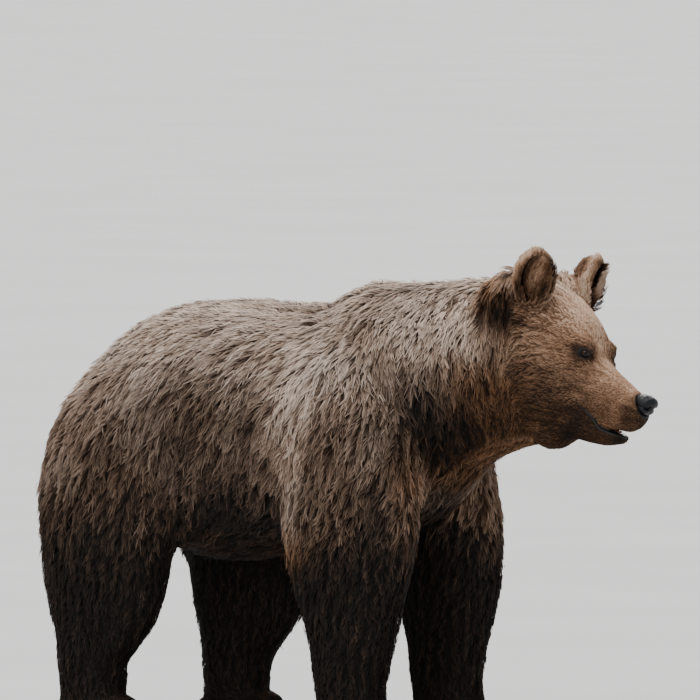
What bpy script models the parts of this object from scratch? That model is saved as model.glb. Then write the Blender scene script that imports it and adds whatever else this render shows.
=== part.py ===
"""A life-size brown bear, a young adult female, standing square with its head low and level.

The flesh is modelled whole: each bone and muscle group is a lofted form, all forms are melted
into one surface by a voxel remesh and a smoothing that fades out towards the face, and that
surface is parted into named nodes by thin cuts. Eyes, nose, ears, tongue, tail and claws are
pieces of their own. +X is the way the bear faces, +Y its left, +Z up, and its soles are at z = 0.
All sizes are in metres and reach out to the tips of the coat.
"""

import math

import bmesh
import bpy
from mathutils import Matrix, Vector

# ---- driving dimensions ----------------------------------------------------------------------
HUMP_Z = 0.93  # top of the shoulder hump, over the forelegs
STANCE = 0.155  # each foot's distance from the midline
FORE_X, HIND_X = 0.325, -0.295  # where the right legs stand
LEFT_FORE_STEP, LEFT_HIND_STEP = 0.005, 0.125  # how far the left feet are ahead of the right ones
NOSE_TIP = Vector((0.938, 0.028, 0.699))
HEAD_PITCH, HEAD_YAW, HEAD_ROLL = 21.0, 5.0, 5.0  # degrees: nose down, to its left, left ear down
EYE_RADIUS = 0.0115
EYE_PLACE = (-0.160, 0.0500, 0.0450)  # in the head's own axes
EAR_WIDTH, EAR_HEIGHT, EAR_DEPTH = 0.045, 0.062, 0.034  # half sizes of one ear
EAR_PLACE = (-0.296, 0.108, 0.145)  # in the head's own axes
EAR_TURN = {"right": 38.0, "left": 14.0}  # degrees that each ear opens outwards from straight ahead
FORE_CLAW, HIND_CLAW = 0.052, 0.034  # claw lengths along the curve
WRIST_Z, ELBOW_Z = 0.105, 0.385  # where each leg is parted into paw, lower leg and upper leg

GAP = 0.0006  # how far a cutter stands proud of the piece that fills it
VOXEL = 0.008
BODY_MELT, FACE_MELT = 26, 4  # passes of smoothing on the body, and on the whole with the face
FINE_SHARE, COARSE_SHARE = 0.076, 0.0110  # of the triangles of the smooth flesh

SIDES = {"right": -1, "left": 1}
X, Y, Z = Vector((1, 0, 0)), Vector((0, 1, 0)), Vector((0, 0, 1))


# ---- the scene and its materials -------------------------------------------------------------
def clear_scene():
    for obj in list(bpy.data.objects):
        bpy.data.objects.remove(obj)


def material(name, colour, roughness):
    """A Principled material, made once for each name."""
    found = bpy.data.materials.get(name)
    if found:
        return found
    made = bpy.data.materials.new(name)
    made.use_nodes = True
    shader = made.node_tree.nodes["Principled BSDF"]
    shader.inputs["Base Color"].default_value = (*colour, 1.0)
    shader.inputs["Roughness"].default_value = roughness
    shader.inputs["Metallic"].default_value = 0.0
    made.diffuse_color = (*colour, 1.0)
    return made


def coat():
    return material("coat", (0.20, 0.13, 0.085), 0.85)


def dark_coat():
    return material("dark_coat", (0.085, 0.055, 0.04), 0.85)


def bare_skin():
    return material("bare_skin", (0.025, 0.022, 0.024), 0.4)


def claw_horn():
    return material("claw_horn", (0.14, 0.11, 0.085), 0.45)


# ---- making shapes ---------------------------------------------------------------------------
def add_object(name, mesh, look, helper=False):
    obj = bpy.data.objects.new(name, mesh)
    bpy.context.scene.collection.objects.link(obj)
    if look:
        mesh.materials.clear()
        mesh.materials.append(look)
    if helper:
        obj.hide_render = True
        obj.display_type = "WIRE"
    return obj


def through(stations, steps):
    """Rows on a Catmull-Rom curve through the stations, with steps rows to each span."""
    padded = [stations[0], *stations, stations[-1]]
    rows = []
    for i in range(len(stations) - 1):
        before, start, end, after = padded[i : i + 4]
        for k in range(steps):
            t = k / steps
            rows.append(
                [
                    0.5 * (2 * b + (c - a) * t + (2 * a - 5 * b + 4 * c - d) * t * t
                           + (3 * b - a - 3 * c + d) * t**3)
                    for a, b, c, d in zip(before, start, end, after)
                ]
            )
    rows.append(list(stations[-1]))
    return rows


def loft(shape, stations, sides=20, steps=4, frame=None, swell=0.0, dome=0.8, turns=(28, 54, 75)):
    """Adds a closed form with elliptic sections and domed ends to a bmesh.

    A station is x, y, z, its half width across the body and its half depth, which is fore and
    aft on an upright limb and up and down on a level one. swell is added to both.
    """
    rows = through(stations, steps)
    centres = [Vector(row[:3]) for row in rows]
    rings = []
    for i, row in enumerate(rows):
        ahead = centres[min(i + 1, len(rows) - 1)] - centres[max(i - 1, 0)]
        ahead.normalize()
        across = (Y - ahead * Y.dot(ahead)).normalized()
        deep = ahead.cross(across)
        rings.append((centres[i], ahead, across * (row[3] + swell), deep * (row[4] + swell)))

    def domed(ring, outwards):
        centre, ahead, across, deep = ring
        reach = dome * min(across.length, deep.length) * outwards
        return [
            (centre + ahead * reach * math.sin(turn), ahead,
             across * math.cos(turn), deep * math.cos(turn))
            for turn in map(math.radians, turns)
        ]

    rings = domed(rings[0], -1)[::-1] + rings + domed(rings[-1], 1)
    frame = frame or Matrix.Identity(4)
    loops = []
    for centre, _, across, deep in rings:
        angles = [2 * math.pi * k / sides for k in range(sides)]
        loops.append(
            [shape.verts.new(frame @ (centre + across * math.cos(a) + deep * math.sin(a)))
             for a in angles]
        )
    for low, high in zip(loops, loops[1:]):
        for k in range(sides):
            after = (k + 1) % sides
            shape.faces.new((low[k], high[k], high[after], low[after]))
    shape.faces.new(loops[0])
    shape.faces.new(loops[-1][::-1])


def ball(shape, centre, radii, frame=None, turn=None, segments=20, rings=12):
    """Adds an ellipsoid to a bmesh. turn is a rotation of the ellipsoid about its centre."""
    placed = Matrix.Translation(centre) @ (turn or Matrix.Identity(4))
    placed = (frame or Matrix.Identity(4)) @ placed @ Matrix.Diagonal((*radii, 1.0))
    bmesh.ops.create_uvsphere(
        shape, u_segments=segments, v_segments=rings, radius=1.0, matrix=placed
    )


def prism(shape, outline, reach, frame=None, along="Y"):
    """Adds an outline in x and z, extruded to reach on both sides of y = 0, to a bmesh."""
    frame = frame or Matrix.Identity(4)
    near = [shape.verts.new(frame @ Vector((x, -reach, z))) for x, z in outline]
    far = [shape.verts.new(frame @ Vector((x, reach, z))) for x, z in outline]
    shape.faces.new(near)
    shape.faces.new(far[::-1])
    for k in range(len(outline)):
        after = (k + 1) % len(outline)
        shape.faces.new((near[after], near[k], far[k], far[after]))


def finished(shape, name):
    """The bmesh as a mesh of triangles that point out."""
    bmesh.ops.recalc_face_normals(shape, faces=shape.faces)
    bmesh.ops.triangulate(shape, faces=shape.faces)
    mesh = bpy.data.meshes.new(name)
    shape.to_mesh(mesh)
    shape.free()
    return mesh


def evaluated_mesh(obj, name):
    """What the object's modifiers make, as a mesh of its own. The object is removed."""
    bpy.context.view_layer.update()
    graph = bpy.context.evaluated_depsgraph_get()
    mesh = bpy.data.meshes.new_from_object(obj.evaluated_get(graph))
    mesh.name = name
    bpy.data.objects.remove(obj)
    return mesh


def cutter(name, mesh, proud=0.0):
    """A hidden copy of a mesh, standing proud of it all round."""
    obj = add_object(name, mesh.copy(), None, helper=True)
    if proud:
        grow = obj.modifiers.new("proud", "DISPLACE")
        grow.strength, grow.mid_level = proud, 0.0
    return obj


def cut(mesh, operation, tool, proud):
    """The mesh after one Boolean, cleaned of the needle-thin triangles that it leaves."""
    obj = add_object("cutting", mesh.copy(), None)
    helper = cutter("cutting_tool", tool, proud)
    step = obj.modifiers.new("cut", "BOOLEAN")
    step.operation, step.solver, step.object = operation, "EXACT", helper
    made = evaluated_mesh(obj, mesh.name)
    bpy.data.objects.remove(helper)
    shape = bmesh.new()
    shape.from_mesh(made)
    bmesh.ops.triangulate(shape, faces=shape.faces)
    bmesh.ops.dissolve_degenerate(shape, edges=shape.edges, dist=2e-5)
    bmesh.ops.triangulate(shape, faces=shape.faces)
    shape.to_mesh(made)
    shape.free()
    return made


def shaped(name, mesh, look, keep=(), drop=()):
    """A node: the part of the mesh inside every mesh of keep and outside every mesh of drop."""
    for tool in keep:
        mesh = cut(mesh, "INTERSECT", tool, 0.0)
    for tool in drop:
        mesh = cut(mesh, "DIFFERENCE", tool, GAP)
    biggest_island(mesh)
    mesh.name = name
    return add_object(name, mesh, look)


def biggest_island(mesh):
    """Deletes all but the largest connected piece, which drops slivers that a cut leaves."""
    shape = bmesh.new()
    shape.from_mesh(mesh)
    left, islands = set(shape.verts), []
    while left:
        front = [left.pop()]
        island = set(front)
        while front:
            for edge in front.pop().link_edges:
                for vert in edge.verts:
                    if vert in left:
                        left.discard(vert)
                        island.add(vert)
                        front.append(vert)
        islands.append(island)
    largest = max(islands, key=len)
    spare = [vert for vert in shape.verts if vert not in largest]
    bmesh.ops.delete(shape, geom=spare, context="VERTS")
    shape.to_mesh(mesh)
    shape.free()


# ---- the bear's forms ------------------------------------------------------------------------
def head_frame():
    """Takes the head's own axes to the bear's: its origin is the nose tip, its +X the muzzle."""
    turn = (
        Matrix.Rotation(math.radians(HEAD_YAW), 4, "Z")
        @ Matrix.Rotation(math.radians(HEAD_PITCH), 4, "Y")
        @ Matrix.Rotation(math.radians(-HEAD_ROLL), 4, "X")
    )
    return Matrix.Translation(NOSE_TIP) @ turn


def trunk_forms(shape):
    back = HUMP_Z - 0.035
    loft(shape, [
        # x, y, z, half width, half height: from the rump, over belly and ribs, to the breast
        (-0.412, 0, 0.622, 0.115, 0.128),
        (-0.340, 0, 0.630, 0.165, 0.184),
        (-0.220, 0, back - 0.256, 0.218, 0.241),
        (-0.060, 0, back - 0.262, 0.250, 0.262),
        (0.110, 0, back - 0.258, 0.246, 0.250),
        (0.260, 0, 0.655, 0.222, 0.240),
        (0.380, 0, 0.665, 0.185, 0.205),
        (0.440, 0, 0.675, 0.140, 0.160),
    ], sides=28)
    ball(shape, (0.298, 0, HUMP_Z - 0.142), (0.172, 0.135, 0.150))  # hump
    ball(shape, (-0.175, 0, 0.697), (0.180, 0.188, 0.186))  # croup
    ball(shape, (-0.080, 0, 0.520), (0.200, 0.205, 0.158))  # belly


def neck_forms(shape):
    loft(shape, [
        (0.340, 0, 0.725, 0.185, 0.200),
        (0.480, 0, 0.742, 0.162, 0.180),
        (0.580, 0.004, 0.760, 0.144, 0.163),
        (0.660, 0.010, 0.772, 0.130, 0.154),
    ], sides=24, dome=0.3)
    loft(shape, [  # the crest from the hump to the nape
        (0.340, 0, 0.830, 0.090, 0.106),
        (0.450, 0.001, 0.838, 0.084, 0.106),
        (0.520, 0.003, 0.846, 0.084, 0.103),
        (0.590, 0.006, 0.853, 0.086, 0.098),
        (0.650, 0.010, 0.863, 0.086, 0.090),
    ], dome=0.3)


def fore_foot_x(side):
    return FORE_X + (LEFT_FORE_STEP if side > 0 else 0.0)


def hind_foot_x(side):
    return HIND_X + (LEFT_HIND_STEP if side > 0 else 0.0)


def fore_stations(side):
    """From the shoulder blade down. The left leg leans forward a little from its shoulder."""
    y, x = STANCE * side, fore_foot_x(side)
    top = FORE_X - (0.056 if side > 0 else 0.0)
    return [
        (top - 0.050, y * 0.80, 0.740, 0.082, 0.110),  # shoulder blade
        (top - 0.005, y * 0.96, 0.620, 0.096, 0.150),  # point of the shoulder
        (top + 0.002, y * 1.03, 0.510, 0.094, 0.166),  # upper arm
        (0.5 * (top + x), y * 1.03, 0.410, 0.090, 0.160),  # elbow
        (x - 0.002, y, 0.310, 0.080, 0.130),  # forearm
        (x - 0.004, y, 0.210, 0.070, 0.098),
        (x - 0.006, y, 0.125, 0.064, 0.082),  # wrist
        (x + 0.004, y, 0.075, 0.064, 0.074),
    ]


def hind_stations(side):
    """From the hip down. A hind foot that is ahead takes its knee and its thigh with it."""
    y, x = STANCE * side, hind_foot_x(side)
    hip = HIND_X + 0.35 * (x - HIND_X)
    return [
        (hip + 0.056, y * 0.66, 0.712, 0.084, 0.136),  # hip
        (hip + 0.022, y * 0.92, 0.600, 0.100, 0.168),  # thigh
        (0.5 * (hip + x), y * 1.00, 0.480, 0.098, 0.172),
        (x - 0.002, y * 1.02, 0.380, 0.090, 0.158),  # knee
        (x - 0.018, y, 0.280, 0.078, 0.142),  # shank
        (x - 0.040, y, 0.180, 0.062, 0.088),  # hock
        (x - 0.046, y, 0.105, 0.058, 0.072),
        (x - 0.040, y, 0.070, 0.058, 0.066),
    ]


def foot_places():
    """Each foot's name, its place on the floor, and its half width and length over the toes."""
    places = {}
    for name, side in SIDES.items():
        y = STANCE * side
        places[f"front_{name}"] = (fore_foot_x(side), y, side, 0.066, 0.105, FORE_CLAW)
        places[f"hind_{name}"] = (hind_foot_x(side) - 0.020, y, side, 0.060, 0.140, HIND_CLAW)
    return places


def toe_places(foot):
    """The centre of each toe's ball and the way it points, from the inner toe to the outer."""
    x, y, _, half_width, length, _ = foot
    toes = []
    for k in range(5):
        fan = (k - 2) / 2
        centre = Vector((x + length - 0.020 * abs(fan) ** 1.7, y + half_width * 0.84 * fan, 0.026))
        toes.append((centre, Vector((1.0, 0.22 * fan, 0.0)).normalized()))
    return toes


def foot_forms(shape, foot):
    x, y, _, half_width, length, _ = foot
    heel = x - 0.055 if length < 0.12 else x - 0.110
    loft(shape, [
        (heel, y, 0.034, half_width * 0.70, 0.040),
        (x - 0.010, y, 0.050, half_width * 0.90, 0.056),
        (x + length * 0.50, y, 0.042, half_width * 1.00, 0.047),
        (x + length * 0.86, y, 0.032, half_width * 0.98, 0.036),
    ])
    for centre, ahead in toe_places(foot):
        ball(shape, centre - ahead * 0.006, (0.029, 0.0185, 0.027), segments=12, rings=8)


def head_forms(shape, frame):
    """The head in its own axes: x is minus the distance behind the nose tip."""
    loft(shape, [  # upper muzzle
        (-0.016, 0, -0.021, 0.029, 0.031),
        (-0.040, 0, -0.026, 0.039, 0.041),
        (-0.070, 0, -0.029, 0.044, 0.051),
        (-0.105, 0, -0.026, 0.051, 0.056),
        (-0.140, 0, -0.020, 0.062, 0.060),
        (-0.170, 0, -0.012, 0.076, 0.064),
    ], frame=frame, dome=0.3)
    loft(shape, [  # brow, forehead and braincase
        (-0.146, 0, 0.026, 0.048, 0.022),
        (-0.166, 0, 0.028, 0.066, 0.044),
        (-0.192, 0, 0.030, 0.082, 0.075),
        (-0.236, 0, 0.030, 0.100, 0.100),
        (-0.290, 0, 0.030, 0.114, 0.112),
        (-0.350, 0, 0.026, 0.116, 0.118),
    ], frame=frame, dome=0.2)
    loft(shape, [  # lower jaw and throat
        (-0.034, 0, -0.086, 0.022, 0.010),
        (-0.065, 0, -0.092, 0.033, 0.021),
        (-0.100, 0, -0.092, 0.043, 0.031),
        (-0.140, 0, -0.088, 0.056, 0.044),
        (-0.166, 0, -0.088, 0.064, 0.078),
        (-0.190, 0, -0.086, 0.074, 0.088),
        (-0.250, 0, -0.074, 0.086, 0.092),
        (-0.320, 0, -0.066, 0.094, 0.112),
    ], frame=frame, dome=0.4)
    for side in SIDES.values():
        ball(shape, (-0.225, 0.056 * side, -0.040), (0.090, 0.060, 0.084), frame)  # cheek
        ball(shape, (-0.180, 0.046 * side, 0.020), (0.044, 0.036, 0.031), frame)  # cheekbone
        ball(shape, (-0.170, 0.042 * side, 0.059), (0.027, 0.022, 0.015), frame)  # brow
        loft(shape, [  # the ruff behind the ear
            (-0.300, 0.072 * side, 0.100, 0.040, 0.050),
            (-0.330, 0.074 * side, 0.102, 0.044, 0.063),
            (-0.360, 0.070 * side, 0.090, 0.044, 0.057),
            (-0.395, 0.062 * side, 0.072, 0.040, 0.042),
        ], frame=frame, dome=0.4)


def tail_mesh():
    shape = bmesh.new()
    loft(shape, [
        (-0.415, 0, 0.712, 0.034, 0.026),
        (-0.484, 0, 0.678, 0.036, 0.025),
        (-0.524, 0, 0.634, 0.030, 0.022),
        (-0.532, 0, 0.598, 0.016, 0.014),
    ], sides=8, steps=2, turns=(45,))
    return finished(shape, "tail")


# ---- the flesh, whole ------------------------------------------------------------------------
def whole_flesh():
    """The body with its head as one smooth surface of even quads."""
    shape = bmesh.new()
    trunk_forms(shape)
    neck_forms(shape)
    head_forms(shape, head_frame())
    for side in SIDES.values():
        loft(shape, fore_stations(side))
        loft(shape, hind_stations(side))
    for foot in foot_places().values():
        foot_forms(shape, foot)
    obj = add_object("flesh", finished(shape, "flesh"), None)
    remesh = obj.modifiers.new("melt", "REMESH")
    remesh.mode, remesh.voxel_size = "VOXEL", VOXEL
    mesh = evaluated_mesh(obj, "flesh")

    obj = add_object("flesh", mesh, None)
    body = obj.vertex_groups.new(name="body")
    for vert in mesh.vertices:
        fade_to_face = (0.79 - vert.co.x) / 0.18
        fade_to_feet = (vert.co.z - 0.05) / 0.12
        weight = max(0.0, min(1.0, fade_to_face, fade_to_feet))
        body.add([vert.index], weight, "REPLACE")
    for passes, group in ((BODY_MELT, "body"), (FACE_MELT, "")):
        smooth = obj.modifiers.new(f"smooth_{passes}", "SMOOTH")
        smooth.factor, smooth.iterations, smooth.vertex_group = 0.5, passes, group
    return evaluated_mesh(obj, "flesh")


def thinned(mesh, share):
    """The mesh with that share of its triangles."""
    obj = add_object("thinning", mesh.copy(), None)
    thin = obj.modifiers.new("thin", "DECIMATE")
    thin.ratio = share
    return evaluated_mesh(obj, mesh.name)


def box_mesh(name, low, high):
    shape = bmesh.new()
    middle = [(a + b) / 2 for a, b in zip(low, high)]
    size = [b - a for a, b in zip(low, high)]
    bmesh.ops.create_cube(
        shape, size=1.0, matrix=Matrix.Translation(middle) @ Matrix.Diagonal((*size, 1.0))
    )
    return finished(shape, name)


# ---- where the flesh is parted ---------------------------------------------------------------
def limb_region(name, stations):
    """A form a little fatter than a limb, from the joint with the trunk down past the sole."""
    shape = bmesh.new()
    x, y, _, across, deep = stations[-1]
    sole = (x, y, -0.04, across + 0.06, deep + 0.14)
    loft(shape, [*stations, sole], sides=12, steps=1, swell=0.032, turns=(45,))
    return finished(shape, name)


def neck_region():
    """All that is ahead of a plane that leans from the withers down to the breast."""
    shape = bmesh.new()
    prism(shape, [(0.42, 1.2), (1.3, 1.2), (1.3, 0.38), (0.545, 0.38)], 0.5)
    return finished(shape, "neck_region")


def head_region():
    """All that is ahead of a plane behind the ears and the angle of the jaw."""
    shape = bmesh.new()
    prism(shape, [(0.672, 1.2), (1.3, 1.2), (1.3, 0.38), (0.712, 0.38)], 0.5)
    return finished(shape, "head_region")


# The mouth in the head's own axes: behind the nose tip, and above it.
LOWER_LIP = [(-0.129, -0.0575), (-0.105, -0.0675), (-0.078, -0.0805), (-0.040, -0.0800)]
UPPER_LIP = [(-0.030, -0.0640), (-0.052, -0.0735), (-0.077, -0.0785), (-0.103, -0.0655)]
BELOW, BEFORE = -0.210, 0.060


def jaw_region(frame):
    """The lower jaw: below the lower lip's edge and ahead of the corner of the mouth."""
    shape = bmesh.new()
    outline = [*LOWER_LIP, (BEFORE, LOWER_LIP[-1][1]), (BEFORE, BELOW), (-0.145, BELOW)]
    prism(shape, outline, 0.12, frame)
    return finished(shape, "jaw_region")


def mouth_region(frame):
    """The lower jaw with the gap between the lips."""
    shape = bmesh.new()
    corner = LOWER_LIP[0]
    outline = [
        (corner[0], corner[1] + GAP), (-0.145, BELOW), (BEFORE, BELOW), (BEFORE, -0.054),
        (-0.008, -0.054), *UPPER_LIP,
    ]
    prism(shape, outline, 0.13, frame)
    return finished(shape, "mouth_region")


# ---- the separate pieces ---------------------------------------------------------------------
def eye_frame(side, frame):
    """An eye's own axes: its +X looks out of the socket, ahead and to the side."""
    x, y, z = EYE_PLACE
    return (
        frame
        @ Matrix.Translation((x, y * side, z))
        @ Matrix.Rotation(math.radians(52 * side), 4, "Z")
    )


def eye_mesh(side, frame):
    shape = bmesh.new()
    ball(shape, (0, 0, 0), (EYE_RADIUS,) * 3, eye_frame(side, frame), segments=10, rings=6)
    return finished(shape, "eye")


def socket_mesh(side, frame):
    """The hollow that an eye fills and looks out of: round behind it, flared ahead of it."""
    shape = bmesh.new()
    room = EYE_RADIUS + GAP
    behind = [(-math.cos(a), math.sin(a)) for a in map(math.radians, (25, 50, 75))]
    profile = [(room * x, room * r, room * r) for x, r in behind]
    flare = ((0.0, 1.02, 1.02), (0.55, 1.02, 0.86), (1.1, 1.14, 0.94), (3.0, 2.0, 1.6))
    profile += [(room * x, room * across, room * deep) for x, across, deep in flare]
    stations = [(x, 0, 0, across, deep) for x, across, deep in profile]
    loft(shape, stations, sides=12, steps=1, frame=eye_frame(side, frame), dome=0.1, turns=(45,))
    return finished(shape, "socket")


def nose_mesh(frame):
    """The nose pad: a rounded wedge with two nostrils that open at the sides."""
    shape = bmesh.new()
    loft(shape, [
        (-0.034, 0, 0.003, 0.016, 0.010),
        (-0.021, 0, -0.001, 0.026, 0.017),
        (-0.010, 0, -0.006, 0.026, 0.020),
        (-0.002, 0, -0.009, 0.019, 0.016),
    ], sides=14, steps=1, frame=frame, dome=0.25, turns=(40,))
    pad = finished(shape, "nose_pad")
    obj = add_object("nose_pad", pad, None)
    for side in SIDES.values():
        shape = bmesh.new()
        ball(shape, (0.003, 0.0125 * side, -0.009), (0.013, 0.0054, 0.0064), frame,
             Matrix.Rotation(math.radians(-38 * side), 4, "Z"), segments=8, rings=6)
        cut = obj.modifiers.new("nostril", "BOOLEAN")
        cut.operation, cut.solver = "DIFFERENCE", "EXACT"
        cut.object = add_object(f"nostril_{side}", finished(shape, "nostril"), None, helper=True)
    mesh = evaluated_mesh(obj, "nose")
    for tool in [o for o in bpy.data.objects if o.name.startswith("nostril")]:
        bpy.data.objects.remove(tool)
    return mesh


def ear_mesh(name, frame):
    """A round, upright cup that opens ahead and outwards."""
    side, (x, y, z) = SIDES[name], EAR_PLACE
    placed = (
        frame
        @ Matrix.Translation((x, y * side, z))
        @ Matrix.Rotation(math.radians(EAR_TURN[name] * side), 4, "Z")
        @ Matrix.Rotation(math.radians(-10), 4, "Y")
        @ Matrix.Rotation(math.radians(-14 * side), 4, "X")
    )
    shape = bmesh.new()
    ball(shape, (0, 0, 0), (EAR_DEPTH, EAR_WIDTH, EAR_HEIGHT), placed, segments=14, rings=8)
    obj = add_object("ear_cup", finished(shape, "ear_cup"), None)
    shape = bmesh.new()
    inner = (EAR_DEPTH * 0.95, EAR_WIDTH * 0.74, EAR_HEIGHT * 0.80)
    ball(shape, (EAR_DEPTH * 0.75, 0, -0.002), inner, placed, segments=12, rings=7)
    hollow = add_object("ear_hollow", finished(shape, "ear_hollow"), None, helper=True)
    cut = obj.modifiers.new("hollow", "BOOLEAN")
    cut.operation, cut.solver, cut.object = "DIFFERENCE", "EXACT", hollow
    mesh = evaluated_mesh(obj, "ear")
    bpy.data.objects.remove(hollow)
    return mesh


def tongue_mesh(frame):
    """What the parted lips show of the tongue, lying on the lower jaw."""
    shape = bmesh.new()
    loft(shape, [
        (-0.050, 0, -0.0765, 0.0120, 0.0026),
        (-0.066, 0, -0.0778, 0.0130, 0.0010),
    ], sides=8, steps=1, frame=frame, turns=(45,))
    return finished(shape, "tongue")


def claw_mesh(centre, ahead, length):
    """A claw that leaves the toe level and curves down, thick at its root."""
    shape = bmesh.new()
    stations = []
    for k in range(4):
        share = k / 3
        bend = math.radians(52) * share
        reach = length * math.sin(bend) / math.radians(52)
        fall = length * (1 - math.cos(bend)) / math.radians(52)
        place = centre + ahead * (0.010 + reach) + Z * (0.012 - fall)
        thick = 0.0068 * (1 - 0.86 * share**1.3)
        stations.append((*place, thick * 0.72, thick))
    loft(shape, stations, sides=5, steps=1, turns=(50,))
    return finished(shape, "claw")


# ---- putting it together ---------------------------------------------------------------------
def build_legs(coarse, feet):
    """Every leg in three nodes and its claws. Gives back the regions that the legs fill."""
    regions = {}
    for name, side in SIDES.items():
        regions[f"front_{name}"] = limb_region("fore_region", fore_stations(side)[1:])
        regions[f"hind_{name}"] = limb_region("hind_region", hind_stations(side)[1:])
    for leg, region in regions.items():
        foot = feet[leg]
        claws = [claw_mesh(centre, ahead, foot[5]) for centre, ahead in toe_places(foot)]
        low, high = (-1.5, -1.0, 0.0), (1.5, 1.0, WRIST_Z)
        paw_box = box_mesh("paw_box", low, high)
        lower_box = box_mesh("lower_box", (-1.5, -1.0, WRIST_Z + GAP), (1.5, 1.0, ELBOW_Z))
        upper_box = box_mesh("upper_box", (-1.5, -1.0, ELBOW_Z + GAP), (1.5, 1.0, 1.2))
        shaped(f"{leg}_paw", coarse, dark_coat(), keep=[region, paw_box], drop=claws)
        shaped(f"{leg}_lower_leg", coarse, dark_coat(), keep=[region, lower_box])
        shaped(f"{leg}_upper_leg", coarse, coat(), keep=[region, upper_box])
        for k, claw in enumerate(claws, start=1):
            add_object(f"{leg}_claw_{k}", claw, claw_horn())
    return list(regions.values())


def build_head(fine, coarse, leg_regions):
    frame = head_frame()
    ahead, skull = neck_region(), head_region()
    eyes = {name: eye_mesh(side, frame) for name, side in SIDES.items()}
    sockets = [socket_mesh(side, frame) for side in SIDES.values()]
    nose, jaw, mouth = nose_mesh(frame), jaw_region(frame), mouth_region(frame)
    shaped("neck", coarse, coat(), keep=[ahead], drop=[skull, *leg_regions])
    shaped("head", fine, coat(), keep=[skull], drop=[mouth, nose, *sockets])
    shaped("lower_jaw", fine, coat(), keep=[jaw])
    add_object("nose", nose, bare_skin())
    add_object("tongue", tongue_mesh(frame), material("tongue", (0.35, 0.12, 0.10), 0.4))
    for name in SIDES:
        add_object(f"eye_{name}", eyes[name], material("eye", (0.03, 0.018, 0.01), 0.1))
        shaped(f"ear_{name}", ear_mesh(name, frame), coat(), drop=[fine, coarse])
    return ahead


def centre_on_floor():
    """Moves every node so that the whole bear's box is centred over the origin."""
    nodes = [o for o in bpy.data.objects if not o.hide_render]
    points = [vert.co for o in nodes for vert in o.data.vertices]
    middle = [(min(p[i] for p in points) + max(p[i] for p in points)) / 2 for i in range(2)]
    for obj in nodes:
        obj.location = (-middle[0], -middle[1], 0.0)


def main():
    clear_scene()
    whole = whole_flesh()
    fine, coarse = thinned(whole, FINE_SHARE), thinned(whole, COARSE_SHARE)
    leg_regions = build_legs(coarse, foot_places())
    ahead = build_head(fine, coarse, leg_regions)
    shaped("trunk", coarse, coat(), drop=[ahead, *leg_regions])
    shaped("tail", tail_mesh(), coat(), drop=[coarse])
    centre_on_floor()


main()
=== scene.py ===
"""A life-size brown bear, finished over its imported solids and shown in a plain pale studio.

The flesh solids are melted into one skin that lies inside them by the depth of the coat. The
coat is made of joined meshes of thin closed tufts rooted in that skin. Their length, lift,
density and lie, and the colours that skin and coat share, are fields over the skin: each is set
for every part of the body, smoothed across the joins, and adjusted near landmarks of the head.
"""

import math
from contextlib import contextmanager

import bmesh
import bpy
import numpy as np
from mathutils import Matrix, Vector
from mathutils.bvhtree import BVHTree
from mathutils.kdtree import KDTree


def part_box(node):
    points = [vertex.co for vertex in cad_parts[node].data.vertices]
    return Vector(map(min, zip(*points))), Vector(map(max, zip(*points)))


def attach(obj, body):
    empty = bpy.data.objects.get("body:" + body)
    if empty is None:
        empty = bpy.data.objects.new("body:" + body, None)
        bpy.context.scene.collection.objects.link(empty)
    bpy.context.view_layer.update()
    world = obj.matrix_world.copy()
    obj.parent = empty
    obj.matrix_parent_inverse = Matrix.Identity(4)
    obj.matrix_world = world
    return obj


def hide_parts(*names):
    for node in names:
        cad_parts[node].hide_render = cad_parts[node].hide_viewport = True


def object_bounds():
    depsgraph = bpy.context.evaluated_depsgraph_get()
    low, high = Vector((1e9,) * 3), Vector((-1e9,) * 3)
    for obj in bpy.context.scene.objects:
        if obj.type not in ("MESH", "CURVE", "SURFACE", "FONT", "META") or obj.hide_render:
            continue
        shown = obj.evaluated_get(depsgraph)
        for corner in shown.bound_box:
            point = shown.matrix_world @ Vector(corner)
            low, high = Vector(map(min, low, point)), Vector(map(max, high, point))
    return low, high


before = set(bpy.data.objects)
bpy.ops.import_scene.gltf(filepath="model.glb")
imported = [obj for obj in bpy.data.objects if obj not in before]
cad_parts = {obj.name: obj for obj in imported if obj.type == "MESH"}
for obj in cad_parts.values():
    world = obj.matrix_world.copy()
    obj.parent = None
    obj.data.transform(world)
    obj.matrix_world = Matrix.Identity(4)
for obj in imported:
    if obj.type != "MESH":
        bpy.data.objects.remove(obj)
CAD_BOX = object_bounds()

# ---- driving values ----
VOXEL = 0.0028  # grain of the skin's remesh, kept on the head and the feet
NOSE_VOXEL = 0.0011
WELD = 1e-6  # corners of the solids nearer than this are one
BODY_TRIANGLES = 60_000  # of the skin where it isn't kept fine
COAT_TRIANGLES = 1_440_000  # for the coat in all
PIECE_TUFTS = 32_000  # most tufts in one coat piece
PATCH = 0.003  # width of a tuft's patch in the OFBake map
AXIS_HEIGHT = 0.66  # of the axis that the coat of trunk and neck is unwrapped round

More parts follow.
